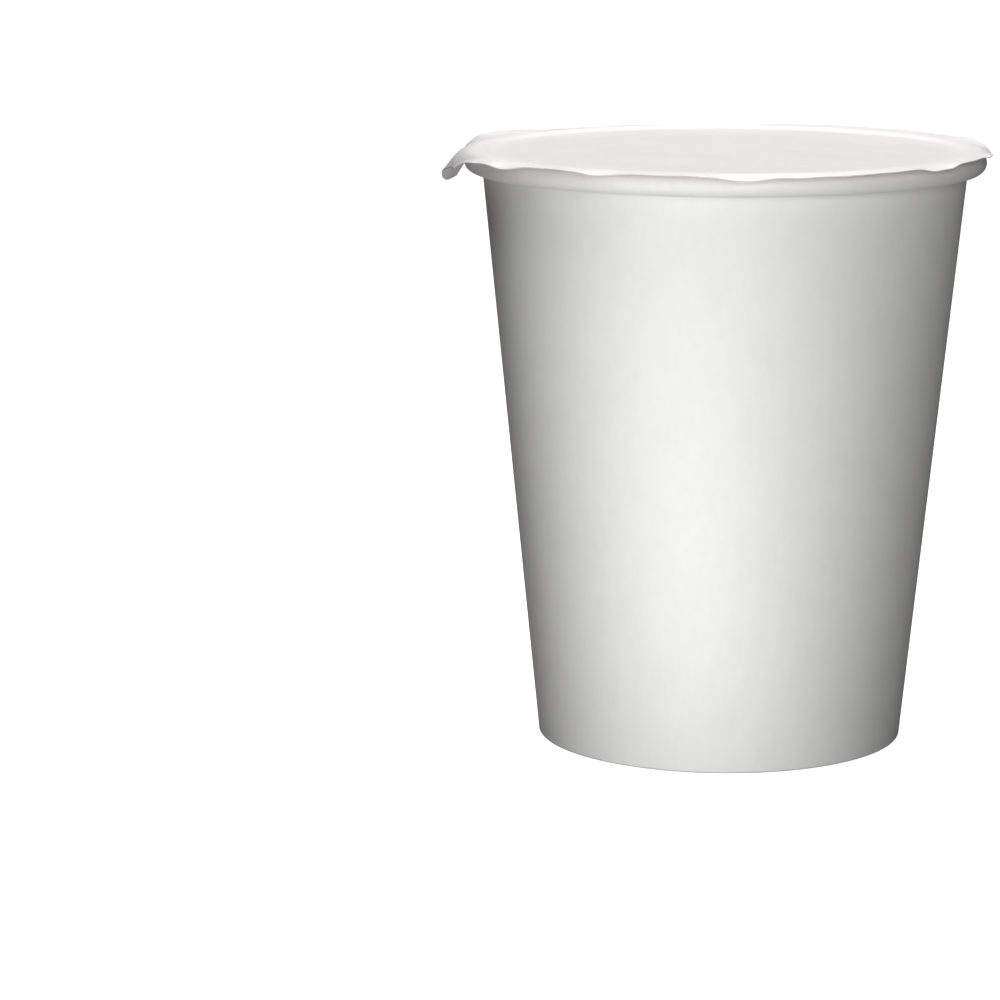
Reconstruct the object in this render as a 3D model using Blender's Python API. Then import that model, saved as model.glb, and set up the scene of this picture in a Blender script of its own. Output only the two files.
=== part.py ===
"""Paper treat cup, shut with a sealed membrane lid that ends in a bent pull tab.

Run with: blender --background --python part.py

The cup stands on its foot ring: the origin is on the cup's axis in the plane of
the floor, +Z is up, and the pull tab points along the -X +Y diagonal. The cup is
shut and can't be seen into, so its body is solid up to just below the membrane.

Sub-parts, each one closed solid:
    cup_body       tapered paper wall with its side seam, the rolled rim and the foot
    base_disc      the bottom disc, set up inside the foot
    lid_membrane   the round membrane with its free edge and its pull tab
"""

import math

import bmesh
import bpy

# Driving dimensions, in metres.
CUP_HEIGHT = 0.0915  # floor to the crown of the rolled rim
RIM_RADIUS = 0.0400  # outside of the rolled rim
NECK_RADIUS = 0.0372  # outside of the wall where it meets the rolled rim
FOOT_RADIUS = 0.02835  # outside of the wall at the floor

ROLL_HEIGHT = 0.0034  # height of the rolled rim
ROLL_WIDTH = 0.0031  # width of the rolled rim across its tube
FILL_DROP = 0.0009  # from the crown down to the flat that the membrane lies over

FOOT_THICKNESS = 0.0015  # wall, disc skirt and folded-in wall together
FOOT_FOLD_RADIUS = 0.00035  # rounding of the fold on the floor
RECESS_DEPTH = 0.0065  # floor to the underside of the bottom disc
DISC_THICKNESS = 0.0006
DISC_EDGE_RADIUS = 0.0004

SEAM_WIDTH = 0.0085  # overlap of the wall's two ends
SEAM_STEP = 0.00035  # thickness of the paper
SEAM_EDGE = 0.0002  # length over which the cut edge steps down
SEAM_FADE = 0.0020  # length over which the wall returns to round
SEAM_AZIMUTH = math.radians(65.0)

LID_RADIUS = 0.0424  # membrane, as cut, without its tab
LID_THICKNESS = 0.0003
LID_DISH = 0.0009  # how far the membrane sinks inside the rim
LID_DISH_RADIUS = 0.0355  # where the membrane starts to climb to the rim
LID_DROOP = 0.11  # slope of the free edge, in radians
LID_BEND_RADIUS = 0.0045  # bend over the rim, of the top face

TAB_AZIMUTH = math.radians(135.0)
TAB_REACH = 0.0476  # axis to the tip of the tab, laid flat
TAB_LOBE_RADIUS = 0.0172
TAB_BEND = 1.11  # slope of the bent tab, in radians
TAB_BEND_SPREAD = (0.22, 0.53)  # radians that the bend reaches, clockwise and counter-clockwise
TAB_BEND_POWER = 4.0  # how squarely the bend starts and ends along the rim
TAB_LIFT = 0.13  # how much flatter, in radians, the edge is just clockwise of the tab
TAB_LIFT_OFFSET = -0.32  # radians from the tab to that flatter edge
TAB_LIFT_SPREAD = 0.20

GAP = 0.0003  # left between pieces that touch

SEGMENTS = 72  # steps round the cup
ROLL_STEPS = 12
LID_SEGMENTS = 96
LID_FLANGE_STEPS = 6
TAB_FINE_REACH = 0.8  # radians from the tab within which each lid step is halved
FOLD_STEPS = 2  # steps in each quarter turn of the foot's folds
SHARP_ANGLE = math.radians(35.0)  # edges that turn more than this are shaded sharp

ROLL_CENTRE_RADIUS = RIM_RADIUS - ROLL_WIDTH / 2
ROLL_CENTRE_HEIGHT = CUP_HEIGHT - ROLL_HEIGHT / 2
LID_TOP = CUP_HEIGHT + GAP + LID_THICKNESS

# Colour, roughness and metallic value of each material.
CUP_PAPER = ("cup_paper", (0.86, 0.86, 0.85), 0.55, 0.0)
BASE_PAPER = ("base_paper", (0.84, 0.83, 0.81), 0.75, 0.0)
LID_FILM = ("lid_film", (0.88, 0.87, 0.86), 0.45, 0.0)


def wall_radius(height):
    """Outside radius of the tapered wall at a height above the floor."""
    neck_height = CUP_HEIGHT - ROLL_HEIGHT
    return FOOT_RADIUS + (NECK_RADIUS - FOOT_RADIUS) * height / neck_height


def smooth_step(value):
    """0 below 0, 1 above 1, and a smooth climb between them."""
    value = min(max(value, 0.0), 1.0)
    return value * value * (3.0 - 2.0 * value)


def wrapped(angle):
    """The same angle between -pi and pi."""
    return (angle + math.pi) % (2.0 * math.pi) - math.pi


def bell(value, spread, power=2.0):
    """1 at 0, falling away on both sides; a higher power makes a flatter top."""
    return math.exp(-(abs(value / spread) ** power))


def even_azimuths(count):
    """Equally spaced angles round the axis."""
    return [2.0 * math.pi * step / count for step in range(count)]


def material(settings):
    """A plain Principled BSDF material."""
    name, colour, roughness, metallic = settings
    new = bpy.data.materials.new(name)
    new.use_nodes = True
    shader = new.node_tree.nodes["Principled BSDF"]
    shader.inputs["Base Color"].default_value = (*colour, 1.0)
    shader.inputs["Roughness"].default_value = roughness
    shader.inputs["Metallic"].default_value = metallic
    return new


def solid_of_rings(name, rings, settings):
    """One closed solid skinned over rings of points.

    The rings run from the bottom of the axis, out over the surface and back to the
    axis at the top. The first and the last ring are single points on the axis, and
    the others all have the same number of points, counter-clockwise from above.
    """
    mesh = bmesh.new()
    start = mesh.verts.new(rings[0][0])
    end = mesh.verts.new(rings[-1][0])
    loops = [[mesh.verts.new(point) for point in ring] for ring in rings[1:-1]]
    count = len(loops[0])
    for here in range(count):
        after = (here + 1) % count
        mesh.faces.new((start, loops[0][after], loops[0][here]))
        mesh.faces.new((end, loops[-1][here], loops[-1][after]))
        for low, high in zip(loops, loops[1:]):
            mesh.faces.new((low[here], low[after], high[after], high[here]))
    bmesh.ops.recalc_face_normals(mesh, faces=mesh.faces)
    data = bpy.data.meshes.new(name)
    mesh.to_mesh(data)
    mesh.free()
    data.shade_smooth()
    data.set_sharp_from_angle(angle=SHARP_ANGLE)
    data.materials.append(material(settings))
    piece = bpy.data.objects.new(name, data)
    bpy.context.collection.objects.link(piece)
    return piece


def seam_azimuths():
    """Steps round the cup, with extra ones at the step and the fade of the seam."""
    half_width = SEAM_WIDTH / 2 / NECK_RADIUS
    fade = SEAM_FADE / NECK_RADIUS
    edge = SEAM_EDGE / NECK_RADIUS
    own = [SEAM_AZIMUTH + offset for offset in (-half_width - edge, -half_width, half_width, half_width + fade)]
    clear = half_width + 2.0 * fade
    others = [azimuth for azimuth in even_azimuths(SEGMENTS) if abs(wrapped(azimuth - SEAM_AZIMUTH)) > clear]
    return sorted(others + own)


def seam_height(azimuth):
    """How far the overlapped wall stands out at an angle: a sharp edge, then a fade."""
    offset = wrapped(azimuth - SEAM_AZIMUTH) * NECK_RADIUS
    if offset < -(SEAM_WIDTH + SEAM_EDGE) / 2:
        return 0.0
    return SEAM_STEP * (1.0 - smooth_step((offset - SEAM_WIDTH / 2) / SEAM_FADE))


def fold_arc(centre_radius, first_degrees):
    """Radius and height of a quarter turn of the folded foot, down to or up from the floor."""
    points = []
    for step in range(FOLD_STEPS + 1):
        turn = math.radians(first_degrees + 90.0 * step / FOLD_STEPS)
        radius = centre_radius + FOOT_FOLD_RADIUS * math.cos(turn)
        points.append((radius, FOOT_FOLD_RADIUS * (1.0 + math.sin(turn))))
    return points


def foot_profile():
    """Radius and height of the foot: recess wall, folds and the flat on the floor."""
    recess_edge = (wall_radius(RECESS_DEPTH) - FOOT_THICKNESS, RECESS_DEPTH + DISC_THICKNESS + GAP)
    inner_fold = fold_arc(FOOT_RADIUS - FOOT_THICKNESS + FOOT_FOLD_RADIUS, 180.0)
    outer_fold = fold_arc(FOOT_RADIUS - FOOT_FOLD_RADIUS, 270.0)
    return [recess_edge] + inner_fold + outer_fold


def rim_profile():
    """Radius and height of the rolled rim, from under its outside to its inside."""
    half_width = ROLL_WIDTH / 2
    half_height = ROLL_HEIGHT / 2
    first = -math.acos((NECK_RADIUS - ROLL_CENTRE_RADIUS) / half_width)
    last = math.pi - math.asin((half_height - FILL_DROP) / half_height)
    points = []
    for step in range(ROLL_STEPS + 1):
        turn = first + (last - first) * step / ROLL_STEPS
        radius = ROLL_CENTRE_RADIUS + half_width * math.cos(turn)
        points.append((radius, ROLL_CENTRE_HEIGHT + half_height * math.sin(turn)))
    return points


def make_cup_body():
    """Foot, tapered wall and rolled rim in one turned solid, with the side seam."""
    foot = foot_profile()
    profile = foot + rim_profile()
    azimuths = seam_azimuths()
    rings = [[(0.0, 0.0, foot[0][1])]]
    for index, (radius, height) in enumerate(profile):
        swell = 1.0 if index > len(foot) // 2 else 0.0
        ring = []
        for azimuth in azimuths:
            reach = radius + swell * seam_height(azimuth)
            ring.append((reach * math.cos(azimuth), reach * math.sin(azimuth), height))
        rings.append(ring)
    rings.append([(0.0, 0.0, profile[-1][1])])
    return solid_of_rings("cup_body", rings, CUP_PAPER)


def make_base_disc():
    """The bottom disc, with the rounded edge that it gets as it is pressed in."""
    outer = wall_radius(RECESS_DEPTH) - FOOT_THICKNESS - GAP
    bottom = RECESS_DEPTH
    top = RECESS_DEPTH + DISC_THICKNESS
    fold = DISC_EDGE_RADIUS
    cut = fold * (1.0 - math.cos(math.pi / 4.0))
    profile = [(outer - fold, bottom), (outer - cut, bottom + cut), (outer, bottom + fold), (outer, top)]
    rings = [[(0.0, 0.0, bottom)]]
    for radius, height in profile:
        rings.append([(radius * math.cos(a), radius * math.sin(a), height) for a in even_azimuths(SEGMENTS)])
    rings.append([(0.0, 0.0, top)])
    return solid_of_rings("base_disc", rings, BASE_PAPER)


def lid_reach(azimuth):
    """Axis to the cut edge of the flat membrane: a circle, and a lobe joined by tangents."""
    lobe_centre = TAB_REACH - TAB_LOBE_RADIUS
    offset = abs(wrapped(azimuth - TAB_AZIMUTH))
    tangent = math.acos((LID_RADIUS - TAB_LOBE_RADIUS) / lobe_centre)
    tangent_along = lobe_centre + TAB_LOBE_RADIUS * math.cos(tangent)
    lobe_half_angle = math.atan2(TAB_LOBE_RADIUS * math.sin(tangent), tangent_along)
    if offset >= tangent:
        return LID_RADIUS
    if offset >= lobe_half_angle:
        return LID_RADIUS / math.cos(tangent - offset)
    across = lobe_centre * math.sin(offset)
    return lobe_centre * math.cos(offset) + math.sqrt(TAB_LOBE_RADIUS ** 2 - across ** 2)


def lid_slope(azimuth):
    """Downward slope of the free edge at an angle: droop, bent tab and lifted edge."""
    offset = wrapped(azimuth - TAB_AZIMUTH)
    spread = TAB_BEND_SPREAD[0] if offset < 0.0 else TAB_BEND_SPREAD[1]
    bend = (TAB_BEND - LID_DROOP) * bell(offset, spread, TAB_BEND_POWER)
    return LID_DROOP + bend - TAB_LIFT * bell(offset - TAB_LIFT_OFFSET, TAB_LIFT_SPREAD)


def lid_point(flat_radius, azimuth, depth):
    """A point of the membrane, depth metres below its top face.

    flat_radius is measured on the flat membrane. Inside the rim the membrane is
    dished, and past the crown of the rim it bends over an arc and runs on straight.
    """
    crown = ROLL_CENTRE_RADIUS
    past = flat_radius - crown
    if past <= 0.0:
        climb = smooth_step((flat_radius - LID_DISH_RADIUS) / (crown - LID_DISH_RADIUS))
        radius = flat_radius
        height = LID_TOP - LID_DISH * (1.0 - climb) - depth
    else:
        slope = lid_slope(azimuth)
        arc = min(past / LID_BEND_RADIUS, abs(slope))
        straight = past - arc * LID_BEND_RADIUS
        drop = LID_BEND_RADIUS * (1.0 - math.cos(arc)) + straight * math.sin(arc)
        sign = math.copysign(1.0, slope)
        radius = crown + LID_BEND_RADIUS * math.sin(arc) + straight * math.cos(arc) - sign * depth * math.sin(arc)
        height = LID_TOP - sign * drop - depth * math.cos(arc)
    return (radius * math.cos(azimuth), radius * math.sin(azimuth), height)


def lid_azimuths():
    """Steps round the membrane, halved near the tab."""
    half_step = math.pi / LID_SEGMENTS
    angles = []
    for azimuth in even_azimuths(LID_SEGMENTS):
        angles.append(azimuth)
        if abs(wrapped(azimuth + half_step - TAB_AZIMUTH)) < TAB_FINE_REACH:
            angles.append(azimuth + half_step)
    return angles


def make_lid_membrane():
    """The membrane: dished inside the rim, sealed over it, with a free edge and a tab."""
    azimuths = lid_azimuths()
    crown = ROLL_CENTRE_RADIUS
    inside = [LID_DISH_RADIUS, (LID_DISH_RADIUS + crown) / 2]
    shares = [step / LID_FLANGE_STEPS for step in range(LID_FLANGE_STEPS + 1)]

    def face(depth):
        rings = [[lid_point(radius, azimuth, depth) for azimuth in azimuths] for radius in inside]
        for share in shares:
            rings.append([lid_point(crown + (lid_reach(a) - crown) * share, a, depth) for a in azimuths])
        return rings

    bottom = [[lid_point(0.0, 0.0, LID_THICKNESS)]] + face(LID_THICKNESS)
    top = face(0.0)[::-1] + [[lid_point(0.0, 0.0, 0.0)]]
    return solid_of_rings("lid_membrane", bottom + top, LID_FILM)


def main():
    for existing in list(bpy.data.objects):
        bpy.data.objects.remove(existing, do_unlink=True)
    make_cup_body()
    make_base_disc()
    make_lid_membrane()


main()
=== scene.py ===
"""Looks of the shut paper treat cup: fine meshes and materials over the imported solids.

The cup stands on the origin, +Z is up, and the pull tab points along the -X +Y
diagonal. All sizes are in metres and all angles in radians unless a name says degrees.
"""

import math

import bpy
import numpy as np
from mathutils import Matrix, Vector


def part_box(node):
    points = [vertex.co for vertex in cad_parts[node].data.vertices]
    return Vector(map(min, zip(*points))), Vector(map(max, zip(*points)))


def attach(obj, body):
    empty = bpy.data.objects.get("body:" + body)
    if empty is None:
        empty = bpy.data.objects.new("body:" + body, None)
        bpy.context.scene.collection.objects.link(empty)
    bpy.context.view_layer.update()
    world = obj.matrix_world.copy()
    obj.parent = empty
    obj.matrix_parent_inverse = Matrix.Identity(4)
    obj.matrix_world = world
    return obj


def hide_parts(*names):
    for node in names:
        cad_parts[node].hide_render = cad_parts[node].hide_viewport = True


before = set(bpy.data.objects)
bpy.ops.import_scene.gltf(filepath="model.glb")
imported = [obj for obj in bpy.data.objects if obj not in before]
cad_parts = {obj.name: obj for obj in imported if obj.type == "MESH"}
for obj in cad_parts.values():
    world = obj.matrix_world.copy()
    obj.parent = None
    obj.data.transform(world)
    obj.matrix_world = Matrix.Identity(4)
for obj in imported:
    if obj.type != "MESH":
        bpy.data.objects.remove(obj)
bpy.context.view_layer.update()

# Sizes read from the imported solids.
CUP_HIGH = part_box("cup_body")[1]
CUP_HEIGHT = CUP_HIGH.z  # floor to the crown of the rolled rim
RIM_RADIUS = CUP_HIGH.x
DISC_LOW, DISC_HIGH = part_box("base_disc")
RECESS_DEPTH = DISC_LOW.z

# Cup wall, rolled rim and foot, as in the solids but for a rolled rim 0.3 mm less high.
NECK_RADIUS = 0.0372  # outside of the wall where it meets the rolled rim
FOOT_RADIUS = 0.02835  # outside of the wall at the floor
ROLL_HEIGHT = 0.0031
ROLL_WIDTH = 0.0031
FILL_DROP = 0.0009  # from the crown down to the flat that the membrane lies over
FOOT_THICKNESS = 0.0015  # wall, disc skirt and folded-in wall together
FOOT_FOLD_RADIUS = 0.00035
PAPER_THICKNESS = 0.00035
ROLL_CENTRE_RADIUS = RIM_RADIUS - ROLL_WIDTH / 2
ROLL_CENTRE_HEIGHT = CUP_HEIGHT - ROLL_HEIGHT / 2

SEAM_AZIMUTH = math.radians(65.0)
SEAM_WIDTH = 0.0085  # overlap of the wall's two ends
SEAM_FADE = 0.0020  # width over which the wall returns to round
SEAM_EDGE = 0.00012  # width over which the cut edge steps down

KNURL_COUNT = 120  # pressed ridges round the inside of the foot
KNURL_DEPTH = 0.00012
OUT_OF_ROUND = 0.00006  # soft unevenness of the wall, growing towards the rim
RECESS_CLEARANCE = 0.0003  # the foot's recess goes this far above the bottom disc

CUP_SEGMENTS = 480
WALL_STEPS = 90
ROLL_STEPS = 40
RECESS_STEPS = 14
FOLD_STEPS = 6

# Bottom disc.
DISC_EDGE_RADIUS = 0.0006
DISC_SAG = 0.00012
DISC_SEGMENTS = 240
DISC_FACE_STEPS = 20
DISC_EDGE_STEPS = 8

# Membrane lid.
LID_THICKNESS = 0.00012
LID_SEAT = 0.0002  # the membrane's underside above the crown of the rim
LID_RADIUS = 0.0424  # the circle that the tab grows out of
LID_CIRCLE = (0.0419, -0.00037, 0.00035)  # radius of the cut disc, and how far it sits off centre
LID_DISH = 0.00045  # how far the membrane sinks inside the rim
LID_DISH_RADII = (0.0358, 0.0375)  # where the dish starts to climb, and where it reaches the rim
LID_BEND_RADIUS = 0.0044  # bend of the free edge over the rim

TAB_AZIMUTH = math.radians(132.6)
TAB_REACH = 0.04785  # axis to the tip of the tab, laid flat
TAB_LOBE_RADIUS = 0.0161

# Where the cut edge strays from lobe and circle: (azimuth and half width in degrees, metres).
EDGE_STRAYS = (
    (118, 6, 0.0008),  # fuller at the tab's root, towards the back
    (130, 6, -0.0004),  # shorter beside its tip
    (153, 7, 0.0006),  # fuller front half of the tab
    (165, 6, 0.0009),  # and front root
    (326, 10, -0.0005),  # cut back at the right tip
)

# Downward slope of the free edge, in radians. The tab's bend sets in and fades out over the
# azimuths given in degrees.
EDGE_SLOPE = -0.02  # nearly level, away from the tab and the waves
TAB_SLOPE = 1.05
TAB_BEND_START = (117, 131)
TAB_BEND_END = (158, 174)

# Droops and lifts of the free edge: (azimuth and half width in degrees, slope in radians).
EDGE_WAVES = (
    (61, 14, 0.17),  # two soft droops at the back
    (91, 14, 0.11),
    (119, 3, 0.09),  # start of the tab's bend
    (137, 5, 0.06),  # the tab bends most beside its tip
    (150, 6, -0.13),  # and a little less towards the front
    (174, 7, 0.20),  # droops beside the tab
    (187, 5, 0.25),
    (212, 4, 0.14),  # short wave at the front's left
    (227, 4, 0.03),
    (242, 5, 0.30),  # the middle wave of the front
    (253, 4, 0.06),  # and the soft droop that follows it
    (262, 14, 0.11),
    (286, 3, 0.23),  # double wave at the front's right
    (291, 3, 0.21),
    (302, 5, -0.04),  # a lift and a small droop before the right tip
    (313, 3, 0.05),
    (325, 3, 0.06),  # the right tip
    (330, 9, 0.43),
    (350, 5, -0.07),  # lifted edge past the tip
)

# Fine creases of the membrane.
SLACK_HEIGHT = 0.000022  # long soft waves over the hollow
SLACK_WAVES = 10
SLACK_LENGTHS = (0.012, 0.035)
PUCKER_HEIGHT = 0.00002  # short folds along the seal
FLUTTER_HEIGHT = 0.00003  # short waves of the free edge

LID_SEGMENTS = 720
LID_FACE_STEPS = 60
LID_FLANGE_STEPS = 26

# Camera, solved from the outlines of lid, rim, wall and foot.
CAMERA_AZIMUTH = math.radians(238.0)
CAMERA_DISTANCE = 0.5938
CAMERA_HEIGHT = 0.1502
CAMERA_PITCH = math.radians(10.844)
CAMERA_YAW = math.radians(3.333)
LENS_MM = 139.0
SENSOR_MM = 36.0

# Floor: what the camera sees of it, and what it throws back at the cup.
FLOOR_RADIUS = 12.0
FLOOR_GLOW = 1.0
FLOOR_SHOWN = (0.50, 0.50, 0.50, 1.0)
FLOOR_BOUNCED = (0.13, 0.126, 0.117, 1.0)

# Far soft box up at the left: azimuth, elevation and apparent size in degrees, strength.
TOP_LIGHT = {"azimuth": -90.0, "elevation": 70.0, "size": 30.0, "strength": 1.15}

# Square soft box behind the cup: elevation in degrees, distance and side in metres, watts.
BACK_LIGHT = {"elevation": 45.0, "distance": 0.32, "side": 0.22, "power": 0.90}

# Near strips: name, azimuth in degrees, distance from the axis, foot, head, width, watts.
STRIPS = (
    ("strip_near", -10.0, 0.08, 0.001, 0.022, 0.02, 0.0050),
    ("strip_near_high", -16.0, 0.08, 0.045, 0.10, 0.02, 0.0017),
    ("strip_left", -16.0, 0.10, 0.001, 0.045, 0.02, 0.0078),
    ("strip_left_high", -24.0, 0.10, 0.045, 0.10, 0.02, 0.0094),
    ("strip_front", -8.0, 0.14, 0.001, 0.07, 0.03, 0.0245),
    ("strip_middle", -8.0, 0.18, 0.07, 0.14, 0.03, 0.0070),
    ("strip_right", 15.0, 0.40, 0.001, 0.30, 0.06, 0.640),
)

FULL_TURN = 2.0 * math.pi
RIGHT_ANGLE = math.pi / 2


# ---------------------------------------------------------------- helpers


def smooth_step(value):
    """0 below 0, 1 above 1, and a smooth climb between them."""
    value = np.clip(value, 0.0, 1.0)
    return value * value * (3.0 - 2.0 * value)


def wrapped(angle):
    """The same angle between -pi and pi."""
    return (angle + math.pi) % FULL_TURN - math.pi


def bell(value, spread):
    """1 at 0, falling away on both sides."""
    return np.exp(-np.abs(value / spread) ** 2.0)


def bells(rows, azimuths):
    """The sum of bells round the edge, from rows of azimuth and half width, and height."""
    total = np.zeros_like(azimuths)
    for azimuth, half_width, height in rows:
        away = wrapped(azimuths - math.radians(azimuth))
        total += height * bell(away, math.radians(half_width))
    return total


def waves(values, seed, orders):
    """A smooth random curve of about unit size: a few sine waves with seeded phases."""
    draw = np.random.default_rng(seed)
    total = np.zeros_like(values)
    for order in orders:
        total += draw.normal() * np.cos(order * values + draw.uniform(0.0, FULL_TURN))
    return total / math.sqrt(len(orders))


def skin(name, rings, material, node):
    """One closed, smooth mesh over rings of points that replaces a CAD node.

    The rings run from the bottom of the axis, out over the surface and back to the
    axis at the top. The ends are closed by fans round the mean of the end rings.
    """
    count, around, _ = rings.shape
    points = np.concatenate([rings.reshape(-1, 3), rings[:1].mean(1), rings[-1:].mean(1)])
    here = np.arange(around)
    after = (here + 1) % around
    faces = []
    for low in range(count - 1):
        base, above = low * around, (low + 1) * around
        faces += np.stack([base + here, base + after, above + after, above + here], 1).tolist()
    start, end = count * around, count * around + 1
    last = (count - 1) * around
    faces += np.stack([np.full(around, start), after, here], 1).tolist()
    faces += np.stack([np.full(around, end), last + here, last + after], 1).tolist()
    data = bpy.data.meshes.new(name)
    data.from_pydata(points.tolist(), [], faces)
    data.shade_smooth()
    data.materials.append(material)
    piece = bpy.data.objects.new(name, data)
    bpy.context.scene.collection.objects.link(piece)
    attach(piece, "root")
    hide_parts(node)


def turned(radius, height, azimuths):
    """Rings of points from radius and height tables, one row for each ring."""
    return np.stack([radius * np.cos(azimuths), radius * np.sin(azimuths), height], -1)


def direction(azimuth, elevation):
    """The unit vector towards an azimuth and an elevation."""
    flat = math.cos(elevation)
    return Vector((math.cos(azimuth) * flat, math.sin(azimuth) * flat, math.sin(elevation)))


# ---------------------------------------------------------------- materials

NOISE_RANGE = (0.3, 0.7)

# Radii over which the painted shade of the hollow fades out, so the membrane's colour turns
# whiter from the hollow to the seal.
PAINTED_SHADE_FADE_NEAR_SEAL = (LID_DISH_RADII[0] - 0.0035, LID_DISH_RADII[1] + 0.001)
PAINTED_SHADE_FADE_OUTWARD = (0.020, RIM_RADIUS)


class Nodes:
    """Short calls for building one material's node tree."""

    def __init__(self, name):
        self.material = bpy.data.materials.new(name)
        self.material.use_nodes = True
        self.tree = self.material.node_tree
        self.shader = self.tree.nodes["Principled BSDF"]
        self.place = self.add("ShaderNodeTexCoord").outputs["Object"]

    def add(self, kind, **settings):
        node = self.tree.nodes.new(kind)
        for name, value in settings.items():
            setattr(node, name, value)
        return node

    def link(self, source, target):
        self.tree.links.new(source, target)

    def noise(self, scale, detail, roughness=0.5, stretch=(1.0, 1.0, 1.0)):
        """Fractal noise over the piece, scale features to the metre."""
        mapping = self.add("ShaderNodeMapping")
        mapping.inputs["Scale"].default_value = stretch
        self.link(self.place, mapping.inputs["Vector"])
        noise = self.add("ShaderNodeTexNoise")
        noise.inputs["Scale"].default_value = scale
        noise.inputs["Detail"].default_value = detail
        noise.inputs["Roughness"].default_value = roughness
        self.link(mapping.outputs["Vector"], noise.inputs["Vector"])
        return noise.outputs["Fac"]

    def span(self, value, low, high, out_low, out_high):
        """Out_low up to low, out_high from high, and a smooth climb between them."""
        node = self.add("ShaderNodeMapRange", interpolation_type="SMOOTHSTEP")
        node.inputs["From Min"].default_value = low
        node.inputs["From Max"].default_value = high
        node.inputs["To Min"].default_value = out_low
        node.inputs["To Max"].default_value = out_high
        self.link(value, node.inputs["Value"])
        return node.outputs["Result"]

    def spread(self, noise, out_low, out_high):
        """The usual range of a noise, drawn out to these two values."""
        return self.span(noise, *NOISE_RANGE, out_low, out_high)

    def total(self, first, second):
        node = self.add("ShaderNodeMath", operation="ADD")
        self.link(first, node.inputs[0])
        self.link(second, node.inputs[1])
        return node.outputs["Value"]

    def blend(self, factor, first, second):
        """Colour from first at 0 to second at 1; each is a colour or another node's output."""
        node = self.add("ShaderNodeMix", data_type="RGBA")
        self.link(factor, node.inputs["Factor"])
        for socket, value in ((node.inputs[6], first), (node.inputs[7], second)):
            if isinstance(value, tuple):
                socket.default_value = (*value, 1.0)
            else:
                self.link(value, socket)
        return node.outputs[2]

    def radius(self):
        """Distance from the cup's axis."""
        parts = self.add("ShaderNodeSeparateXYZ")
        self.link(self.place, parts.inputs["Vector"])
        flat = self.add("ShaderNodeCombineXYZ")
        self.link(parts.outputs["X"], flat.inputs["X"])
        self.link(parts.outputs["Y"], flat.inputs["Y"])
        length = self.add("ShaderNodeVectorMath", operation="LENGTH")
        self.link(flat.outputs["Vector"], length.inputs[0])
        return length.outputs["Value"]

    def bump(self, layers):
        """Bump nodes in a row, one for each (height, strength, distance)."""
        normal = None
        for height, strength, distance in layers:
            node = self.add("ShaderNodeBump")
            node.inputs["Strength"].default_value = strength
            node.inputs["Distance"].default_value = distance
            self.link(height, node.inputs["Height"])
            if normal is not None:
                self.link(normal, node.inputs["Normal"])
            normal = node.outputs["Normal"]
        self.link(normal, self.shader.inputs["Normal"])

    def finish(self, colour, roughness, specular):
        self.link(colour, self.shader.inputs["Base Color"])
        self.link(roughness, self.shader.inputs["Roughness"])
        self.shader.inputs["Specular IOR Level"].default_value = specular
        return self.material


def cup_paper():
    """Smooth coated white board: faint formation clouds and fibres, soft gloss."""
    make = Nodes("cup_paper")
    clouds = make.noise(160.0, 3.0)
    fibres = make.noise(900.0, 4.0, 0.6, (1.0, 1.0, 0.35))
    mottle = make.total(make.spread(clouds, 0.0, 0.5), make.spread(fibres, 0.0, 0.5))
    colour = make.blend(mottle, (0.844, 0.844, 0.829), (0.876, 0.876, 0.861))
    roughness = make.spread(fibres, 0.50, 0.58)
    make.bump([(clouds, 0.02, 0.0004), (fibres, 0.12, 0.00005)])
    return make.finish(colour, roughness, 0.5)


def base_paper():
    """The uncoated inside face of the board, with visible fibres."""
    make = Nodes("base_paper")
    clouds = make.noise(220.0, 3.0)
    fibres = make.noise(1500.0, 4.0, 0.65)
    colour = make.blend(make.spread(clouds, 0.0, 1.0), (0.79, 0.78, 0.75), (0.85, 0.84, 0.82))
    roughness = make.spread(fibres, 0.72, 0.85)
    make.bump([(clouds, 0.2, 0.0004), (fibres, 0.3, 0.00008)])
    return make.finish(colour, roughness, 0.35)


def lid_film():
    """White membrane with a slight pink tint of its own. Painted shade makes it darker over the
    hollow, and it turns whiter towards the seal.
    """
    make = Nodes("lid_film")
    radius = make.radius()
    # Painted shade: these masks lighten the colour out from the hollow to the seal and on to the
    # rim.
    near_seal = make.span(radius, *PAINTED_SHADE_FADE_NEAR_SEAL, 0.0, 0.6)
    seal_over_painted_shade = make.total(near_seal, make.span(radius, *PAINTED_SHADE_FADE_OUTWARD, 0.0, 0.4))
    clouds = make.noise(70.0, 3.0)
    grain = make.noise(1200.0, 3.0, 0.6)
    crinkle = make.noise(300.0, 4.0, 0.6)
    mottle = make.total(make.spread(clouds, 0.0, 0.5), make.spread(crinkle, 0.0, 0.5))
    # Colour over the hollow: the film's own pink tint, darkened by painted shade of the hollow
    # behind it.
    inside = make.blend(mottle, (0.789, 0.742, 0.722), (0.833, 0.785, 0.765))
    colour = make.blend(seal_over_painted_shade, inside, (0.925, 0.900, 0.888))
    roughness = make.spread(grain, 0.42, 0.50)
    make.bump([(clouds, 0.10, 0.0005), (grain, 0.06, 0.00004)])
    make.shader.inputs["Subsurface Weight"].default_value = 0.5
    make.shader.inputs["Subsurface Radius"].default_value = (1.0, 1.0, 1.0)
    make.shader.inputs["Subsurface Scale"].default_value = 0.0006
    return make.finish(colour, roughness, 0.5)


# ---------------------------------------------------------------- cup body


def seam_height(azimuths):
    """How far the overlapped wall stands out: a cut edge on one side, a fade on the other."""
    offset = wrapped(azimuths - SEAM_AZIMUTH) * NECK_RADIUS
    edge = smooth_step((offset + SEAM_WIDTH / 2 + SEAM_EDGE) / SEAM_EDGE)
    return PAPER_THICKNESS * edge * (1.0 - smooth_step((offset - SEAM_WIDTH / 2) / SEAM_FADE))


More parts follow.
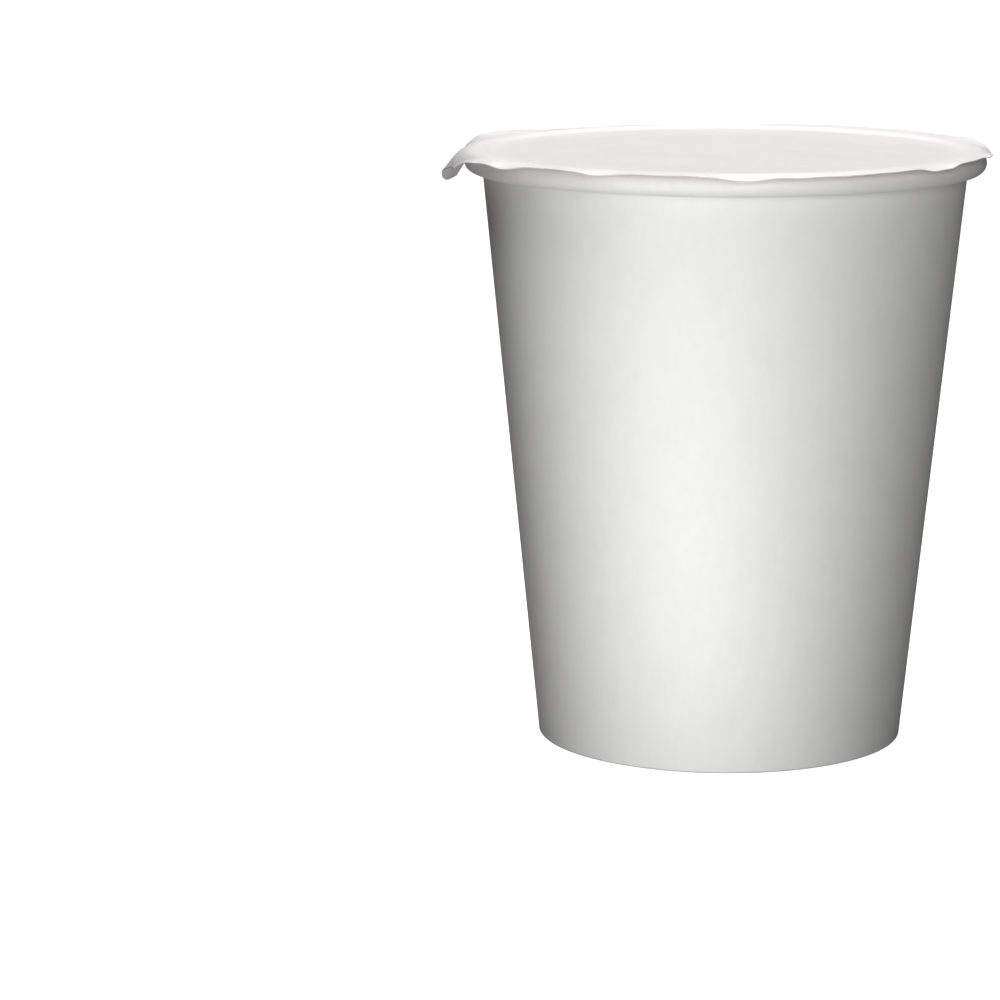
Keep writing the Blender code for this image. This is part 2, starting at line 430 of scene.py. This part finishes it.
def cup_azimuths():
    """Even steps, with close ones at the seam's cut edge."""
    even = np.arange(CUP_SEGMENTS) * FULL_TURN / CUP_SEGMENTS
    past_cut = SEAM_EDGE * np.array([-0.6, 0.0, 0.2, 0.4, 0.6, 0.8, 1.0, 1.6])
    edge = SEAM_AZIMUTH - (SEAM_WIDTH / 2 + past_cut) / NECK_RADIUS
    clear = np.abs(wrapped(even - edge.mean())) > FULL_TURN / CUP_SEGMENTS
    return np.sort(np.concatenate([even[clear], edge]))


def arc(centre, radii, degrees, steps):
    """Radius and height of points along an elliptic arc."""
    turns = np.radians(np.linspace(degrees[0], degrees[1], steps + 1))
    radius = centre[0] + radii[0] * np.cos(turns)
    height = centre[1] + radii[1] * np.sin(turns)
    return np.stack([radius, height], 1)


def wall_radius(height):
    """Outside radius of the tapered wall."""
    return FOOT_RADIUS + (NECK_RADIUS - FOOT_RADIUS) * height / (CUP_HEIGHT - ROLL_HEIGHT)


def make_cup_body(material):
    """Foot, tapered wall and rolled rim in one turned mesh, with the side seam."""
    fold = FOOT_FOLD_RADIUS
    inner = FOOT_RADIUS - FOOT_THICKNESS
    recess_top = DISC_HIGH.z + RECESS_CLEARANCE
    heights = np.linspace(recess_top, fold, RECESS_STEPS)
    recess = np.stack([wall_radius(heights) - FOOT_THICKNESS, heights], 1)
    ceiling = np.array([(recess[0, 0] * share, recess_top) for share in (0.3, 0.6, 0.9)])
    inner_fold = arc((inner + fold, fold), (fold, fold), (190.0, 270.0), FOLD_STEPS)
    outer_fold = arc((FOOT_RADIUS - fold, fold), (fold, fold), (270.0, 350.0), FOLD_STEPS)
    rim_half = (ROLL_WIDTH / 2, ROLL_HEIGHT / 2)
    first = -math.degrees(math.acos((NECK_RADIUS - ROLL_CENTRE_RADIUS) / rim_half[0]))
    last = 180.0 - math.degrees(math.asin((rim_half[1] - FILL_DROP) / rim_half[1]))
    rim = arc((ROLL_CENTRE_RADIUS, ROLL_CENTRE_HEIGHT), rim_half, (first, last), ROLL_STEPS)
    heights = np.linspace(fold, rim[0, 1], WALL_STEPS)
    wall = np.stack([np.linspace(FOOT_RADIUS, NECK_RADIUS, WALL_STEPS), heights], 1)[:-1]
    top = np.array([(rim[-1, 0] * share, rim[-1, 1]) for share in (0.9, 0.5)])
    profile = np.concatenate([ceiling, recess, inner_fold, outer_fold, wall, rim, top])
    inside = len(ceiling) + len(recess) + len(inner_fold)
    azimuths = cup_azimuths()
    radius = np.repeat(profile[:, :1], len(azimuths), 1)
    height = np.repeat(profile[:, 1:], len(azimuths), 1)
    outside = (np.arange(len(profile)) >= inside)[:, None]
    wobble = OUT_OF_ROUND * height / CUP_HEIGHT * waves(azimuths, 3, (2, 3, 5))
    radius += outside * (seam_height(azimuths) + wobble)
    knurled = np.zeros(len(profile))
    knurled[len(ceiling) + 1:len(ceiling) + len(recess) - 1] = 1.0
    radius -= KNURL_DEPTH * knurled[:, None] * (0.5 + 0.5 * np.cos(KNURL_COUNT * azimuths))
    rings = turned(radius, height, azimuths)
    skin("cup_wall_and_rim", rings, material, "cup_body")


def make_base_disc(material):
    """The bottom disc: a rounded edge, and a face that sags a little between."""
    fold = DISC_EDGE_RADIUS
    outer = DISC_HIGH.x
    azimuths = np.arange(DISC_SEGMENTS) * FULL_TURN / DISC_SEGMENTS
    shares = np.linspace(0.08, 0.94, DISC_FACE_STEPS)
    flat = np.array([(outer * share, RECESS_DEPTH) for share in shares])
    edge = arc((outer - fold, RECESS_DEPTH + fold), (fold, fold), (270.0, 360.0), DISC_EDGE_STEPS)
    top = np.array([(outer * share, DISC_HIGH.z) for share in (0.995, 0.6, 0.1)])
    profile = np.concatenate([flat, edge[:-1], top])
    radius = np.repeat(profile[:, :1], len(azimuths), 1)
    height = np.repeat(profile[:, 1:], len(azimuths), 1)
    under = (np.arange(len(profile)) < len(flat))[:, None]
    uneven = 1.0 + 0.4 * np.cos(2.0 * azimuths + 0.7)
    height += under * DISC_SAG * (1.0 - (radius / outer) ** 2) * uneven
    rings = turned(radius, height, azimuths)
    skin("bottom_disc", rings, material, "base_disc")


# ---------------------------------------------------------------- lid


def lid_reach(azimuths):
    """Axis to the cut edge of the flat membrane: a circle, and a lobe joined by tangents."""
    centre = TAB_REACH - TAB_LOBE_RADIUS
    offset = np.abs(wrapped(azimuths - TAB_AZIMUTH))
    tangent = math.acos((LID_RADIUS - TAB_LOBE_RADIUS) / centre)
    lobe_side = TAB_LOBE_RADIUS * math.sin(tangent)
    lobe_half = math.atan2(lobe_side, centre + TAB_LOBE_RADIUS * math.cos(tangent))
    straight = LID_RADIUS / np.cos(np.clip(tangent - offset, 0.0, 1.0))
    across = np.clip(centre * np.sin(offset), 0.0, TAB_LOBE_RADIUS)
    lobe = centre * np.cos(offset) + np.sqrt(TAB_LOBE_RADIUS ** 2 - across ** 2)
    tab = np.where(offset >= lobe_half, straight, lobe)
    reach = np.where(offset >= tangent, LID_RADIUS, tab)
    radius, shift_x, shift_y = LID_CIRCLE
    circle = radius + shift_x * np.cos(azimuths) + shift_y * np.sin(azimuths)
    return reach - LID_RADIUS + circle + bells(EDGE_STRAYS, azimuths)


def lid_slope(azimuths):
    """Downward slope of the free edge: droops, lifts and the bent tab."""
    degrees = np.degrees(azimuths) % 360.0
    starts, bent = TAB_BEND_START
    fades, level = TAB_BEND_END
    share = smooth_step((degrees - starts) / (bent - starts))
    share *= 1.0 - smooth_step((degrees - fades) / (level - fades))
    return EDGE_SLOPE + TAB_SLOPE * share + bells(EDGE_WAVES, azimuths)


def lid_surface(flat_radius, azimuths, depth):
    """Points of the membrane, depth metres below its top face, from their flat places."""
    crown = ROLL_CENTRE_RADIUS
    dish_low, dish_high = LID_DISH_RADII
    climb = smooth_step((flat_radius - dish_low) / (dish_high - dish_low))
    past = np.clip(flat_radius - crown, 0.0, None)
    slope = lid_slope(azimuths)
    turn = np.minimum(past / LID_BEND_RADIUS, np.abs(slope))
    straight = past - turn * LID_BEND_RADIUS
    drop = LID_BEND_RADIUS * (1.0 - np.cos(turn)) + straight * np.sin(turn)
    sign = np.sign(slope)
    over = LID_BEND_RADIUS * np.sin(turn) + straight * np.cos(turn)
    radius = np.minimum(flat_radius, crown) + over - sign * depth * np.sin(turn)
    top = CUP_HEIGHT + LID_SEAT + LID_THICKNESS
    height = top - LID_DISH * (1.0 - climb) - sign * drop - depth * np.cos(turn)
    return turned(radius, height, azimuths)


def lid_ripples(points, flat_radius):
    """Height of the fine creases: slack over the hollow, puckers along the seal."""
    azimuths = np.arctan2(points[..., 1], points[..., 0])
    share = np.clip(flat_radius / LID_DISH_RADII[0], 0.0, 1.0)
    draw = np.random.default_rng(11)
    slack = np.zeros_like(flat_radius)
    for _ in range(SLACK_WAVES):
        heading = draw.uniform(0.0, FULL_TURN)
        length = draw.uniform(*SLACK_LENGTHS)
        along = points[..., 0] * math.cos(heading) + points[..., 1] * math.sin(heading)
        slack += np.cos(FULL_TURN * along / length + draw.uniform(0.0, FULL_TURN))
    slack *= SLACK_HEIGHT * (1.0 - smooth_step((share - 0.8) / 0.2))
    puckers = waves(azimuths, 5, tuple(range(28, 90, 6)))
    near_seal = bell(flat_radius - LID_DISH_RADII[0] + 0.0012, 0.0022)
    free = smooth_step((flat_radius - ROLL_CENTRE_RADIUS) / 0.003)
    flutter = waves(azimuths, 8, tuple(range(17, 70, 5)))
    return slack + PUCKER_HEIGHT * puckers * near_seal + FLUTTER_HEIGHT * flutter * free


def make_lid(material):
    """The membrane, dished inside the rim, with its seal over the rim, a free edge and a bent
    tab.
    """
    azimuths = np.arange(LID_SEGMENTS) * FULL_TURN / LID_SEGMENTS
    crown = ROLL_CENTRE_RADIUS
    shares = np.linspace(0.03, 1.0, LID_FACE_STEPS)
    face = crown * (1.0 - (1.0 - shares) ** 1.3)[:, None] * np.ones(LID_SEGMENTS)
    out = np.linspace(0.0, 1.0, LID_FLANGE_STEPS + 1)[1:, None]
    flat = np.concatenate([face, crown + (lid_reach(azimuths) - crown) * out])
    top = lid_surface(flat, azimuths, 0.0)
    underside = lid_surface(flat, azimuths, LID_THICKNESS)
    ripples = lid_ripples(top, flat)
    top[..., 2] += ripples
    underside[..., 2] += ripples
    rings = np.concatenate([underside, top[::-1]])
    skin("membrane_lid", rings, material, "lid_membrane")


# ---------------------------------------------------------------- stage, lights, camera


def seen_by_camera(tree):
    """1 for what the camera sees directly, 0 for light that bounces."""
    return tree.nodes.new("ShaderNodeLightPath").outputs["Is Camera Ray"]


def make_stage():
    """A wide white floor. It bounces less light than it shows, as in a dark studio."""
    bpy.ops.mesh.primitive_circle_add(vertices=128, radius=FLOOR_RADIUS, fill_type="NGON")
    floor = bpy.context.object
    floor.name = "floor"
    material = bpy.data.materials.new("floor_white")
    material.use_nodes = True
    tree = material.node_tree
    tree.nodes.clear()
    shown = tree.nodes.new("ShaderNodeBsdfDiffuse")
    shown.inputs["Color"].default_value = FLOOR_SHOWN
    glow = tree.nodes.new("ShaderNodeEmission")
    glow.inputs["Strength"].default_value = FLOOR_GLOW
    bright = tree.nodes.new("ShaderNodeAddShader")
    bounced = tree.nodes.new("ShaderNodeBsdfDiffuse")
    bounced.inputs["Color"].default_value = FLOOR_BOUNCED
    mix = tree.nodes.new("ShaderNodeMixShader")
    output = tree.nodes.new("ShaderNodeOutputMaterial")
    tree.links.new(shown.outputs[0], bright.inputs[0])
    tree.links.new(glow.outputs[0], bright.inputs[1])
    tree.links.new(seen_by_camera(tree), mix.inputs["Fac"])
    tree.links.new(bounced.outputs[0], mix.inputs[1])
    tree.links.new(bright.outputs[0], mix.inputs[2])
    tree.links.new(mix.outputs[0], output.inputs["Surface"])
    floor.data.materials.append(material)


def make_world():
    """White behind everything, which lights nothing itself."""
    world = bpy.data.worlds.new("studio")
    bpy.context.scene.world = world
    world.use_nodes = True
    tree = world.node_tree
    background = tree.nodes["Background"]
    tree.links.new(seen_by_camera(tree), background.inputs["Strength"])
    background.inputs["Color"].default_value = (1.0, 1.0, 1.0, 1.0)


def add_lamp(name, light):
    """Put a light into the scene, out of the camera's sight."""
    lamp = bpy.data.objects.new(name, light)
    lamp.visible_camera = False
    bpy.context.scene.collection.objects.link(lamp)
    return lamp


def add_top_light(azimuth, elevation, size, strength):
    """A far, round soft box: azimuth is counter-clockwise from the camera, seen from above."""
    light = bpy.data.lights.new("top_left", "SUN")
    light.energy = strength
    light.angle = math.radians(size)
    lamp = add_lamp("top_left", light)
    toward = direction(CAMERA_AZIMUTH + math.radians(azimuth), math.radians(elevation))
    lamp.location = toward
    lamp.rotation_euler = toward.to_track_quat("Z", "Y").to_euler()


def add_back_light(elevation, distance, side, power):
    """A square soft box behind the cup, aimed down at the lid: it lights the far side more."""
    light = bpy.data.lights.new("back_box", "AREA")
    light.energy = power
    light.shape = "SQUARE"
    light.size = side
    lamp = add_lamp("back_box", light)
    toward = direction(CAMERA_AZIMUTH + math.pi, math.radians(elevation))
    lamp.location = toward * distance + Vector((0.0, 0.0, CUP_HEIGHT))
    lamp.rotation_euler = toward.to_track_quat("Z", "Y").to_euler()


def add_strip(name, azimuth_degrees, distance, low, high, width, power):
    """A near, upright strip light that faces the cup's axis."""
    light = bpy.data.lights.new(name, "AREA")
    light.energy = power
    light.shape = "RECTANGLE"
    light.size = width
    light.size_y = high - low
    lamp = add_lamp(name, light)
    azimuth = CAMERA_AZIMUTH + math.radians(azimuth_degrees)
    lamp.location = direction(azimuth, 0.0) * distance + Vector((0.0, 0.0, (low + high) / 2))
    lamp.rotation_euler = (RIGHT_ANGLE, 0.0, azimuth + RIGHT_ANGLE)


def make_camera():
    """The photograph's view: position by azimuth, distance and height, aim by pitch and yaw."""
    data = bpy.data.cameras.new("camera")
    data.sensor_width = SENSOR_MM
    data.lens = LENS_MM
    data.clip_start = 0.01
    data.clip_end = 50.0
    camera = bpy.data.objects.new("camera", data)
    across = direction(CAMERA_AZIMUTH, 0.0) * CAMERA_DISTANCE
    camera.location = across + Vector((0.0, 0.0, CAMERA_HEIGHT))
    heading = CAMERA_AZIMUTH + RIGHT_ANGLE + CAMERA_YAW
    camera.rotation_euler = (RIGHT_ANGLE - CAMERA_PITCH, 0.0, heading)
    bpy.context.scene.collection.objects.link(camera)
    bpy.context.scene.camera = camera


def main():
    make_cup_body(cup_paper())
    make_base_disc(base_paper())
    make_lid(lid_film())
    make_stage()
    make_world()
    add_top_light(**TOP_LIGHT)
    add_back_light(**BACK_LIGHT)
    for settings in STRIPS:
        add_strip(*settings)
    make_camera()
    bpy.context.scene.view_settings.view_transform = "Standard"


main()
